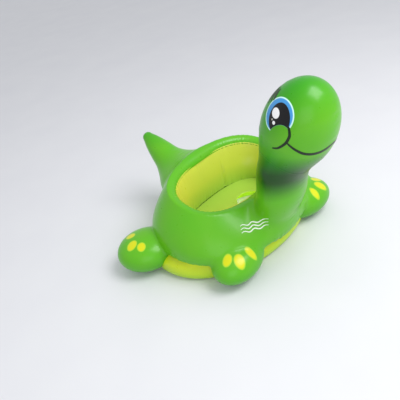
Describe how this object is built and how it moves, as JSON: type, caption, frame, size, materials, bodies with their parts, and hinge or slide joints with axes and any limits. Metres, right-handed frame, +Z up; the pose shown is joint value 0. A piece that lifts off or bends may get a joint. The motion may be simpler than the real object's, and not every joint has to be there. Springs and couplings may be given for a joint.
{
  "type": "inflatable pool float",
  "caption": "Turtle-shaped toddler pool float: two stacked ring chambers round a seat with leg holes, head on a neck, tail, paddle feet, push-in air valves.",
  "frame": {"origin": "on the floor plane, below the middle of the overall length and width", "axes": "+X towards the turtle's head, +Y to its left, +Z up"},
  "size_m": [0.635, 0.6272, 0.457],
  "materials": {
    "green_vinyl": "glossy inflated vinyl, airbrushed light and dark green",
    "lime_vinyl": "glossy inflated vinyl, lime yellow",
    "valve_body": "soft translucent moulded vinyl",
    "valve_plug": "soft translucent moulded vinyl"
  },
  "bodies": {
    "float": {"upper_chamber": "green_vinyl", "neck_web": "green_vinyl", "head_left_half": "green_vinyl", "head_right_half": "green_vinyl", "neck_left_half": "green_vinyl", "neck_right_half": "green_vinyl", "tail_left_half": "green_vinyl", "tail_right_half": "green_vinyl", "front_left_foot_upper": "green_vinyl", "front_left_foot_lower": "green_vinyl", "front_right_foot_upper": "green_vinyl", "front_right_foot_lower": "green_vinyl", "rear_left_foot_upper": "green_vinyl", "rear_left_foot_lower": "green_vinyl", "rear_right_foot_upper": "green_vinyl", "rear_right_foot_lower": "green_vinyl", "lower_chamber": "lime_vinyl", "seat_wall": "lime_vinyl", "lower_wall": "lime_vinyl", "chamber_web": "lime_vinyl", "bottom_panel": "lime_vinyl", "seat_floor": "lime_vinyl", "main_valve_flange": "valve_body", "lower_valve_flange": "valve_body", "head_valve_flange": "valve_body"},
    "main_stem": {"main_valve_stem": "valve_body"},
    "main_flap": {"main_valve_flap": "valve_body"},
    "main_plug": {"main_valve_plug": "valve_plug"},
    "lower_stem": {"lower_valve_stem": "valve_body"},
    "lower_flap": {"lower_valve_flap": "valve_body"},
    "lower_plug": {"lower_valve_plug": "valve_plug"},
    "head_stem": {"head_valve_stem": "valve_body"},
    "head_flap": {"head_valve_flap": "valve_body"},
    "head_plug": {"head_valve_plug": "valve_plug"}
  },
  "joints": [
    {"name": "main_stem_push", "type": "slide", "parent": "float", "child": "main_stem", "axis": [0.2808, -0.7923, -0.5416], "range_m": [0, 0.007]},
    {"name": "main_flap_swing", "type": "hinge", "parent": "main_stem", "child": "main_flap", "pos_m": [-0.05027, 0.1978, 0.132], "axis": [0.1809, -0.5105, 0.8406], "range_deg": [0, 60], "stiffness_Nm_per_rad": 0.0005},
    {"name": "main_plug_flip", "type": "hinge", "parent": "main_stem", "child": "main_plug", "pos_m": [-0.05155, 0.21759, 0.1443], "axis": [-0.1809, 0.5105, -0.8406], "range_deg": [0, 150]},
    {"name": "lower_stem_push", "type": "slide", "parent": "float", "child": "lower_stem", "axis": [-0.2609, -0.9647, -0.0343], "range_m": [0, 0.007]},
    {"name": "lower_flap_swing", "type": "hinge", "parent": "lower_stem", "child": "lower_flap", "pos_m": [0.0181, 0.23268, 0.02569], "axis": [-0.0089, -0.0331, 0.9994], "range_deg": [0, 60], "stiffness_Nm_per_rad": 0.0001},
    {"name": "lower_plug_flip", "type": "hinge", "parent": "lower_stem", "child": "lower_plug", "pos_m": [0.02849, 0.25234, 0.02644], "axis": [0.0089, 0.0331, -0.9994], "range_deg": [0, 150]},
    {"name": "head_stem_push", "type": "slide", "parent": "float", "child": "head_stem", "axis": [0.7431, -0.6137, -0.267], "range_m": [0, 0.007]},
    {"name": "head_flap_swing", "type": "hinge", "parent": "head_stem", "child": "head_flap", "pos_m": [0.18047, 0.04717, 0.36579], "axis": [0.2058, -0.17, 0.9637], "range_deg": [0, 60], "stiffness_Nm_per_rad": 0.0001},
    {"name": "head_plug_flip", "type": "hinge", "parent": "head_stem", "child": "head_plug", "pos_m": [0.16747, 0.06427, 0.37159], "axis": [-0.2058, 0.17, -0.9637], "range_deg": [0, 150]}
  ]
}
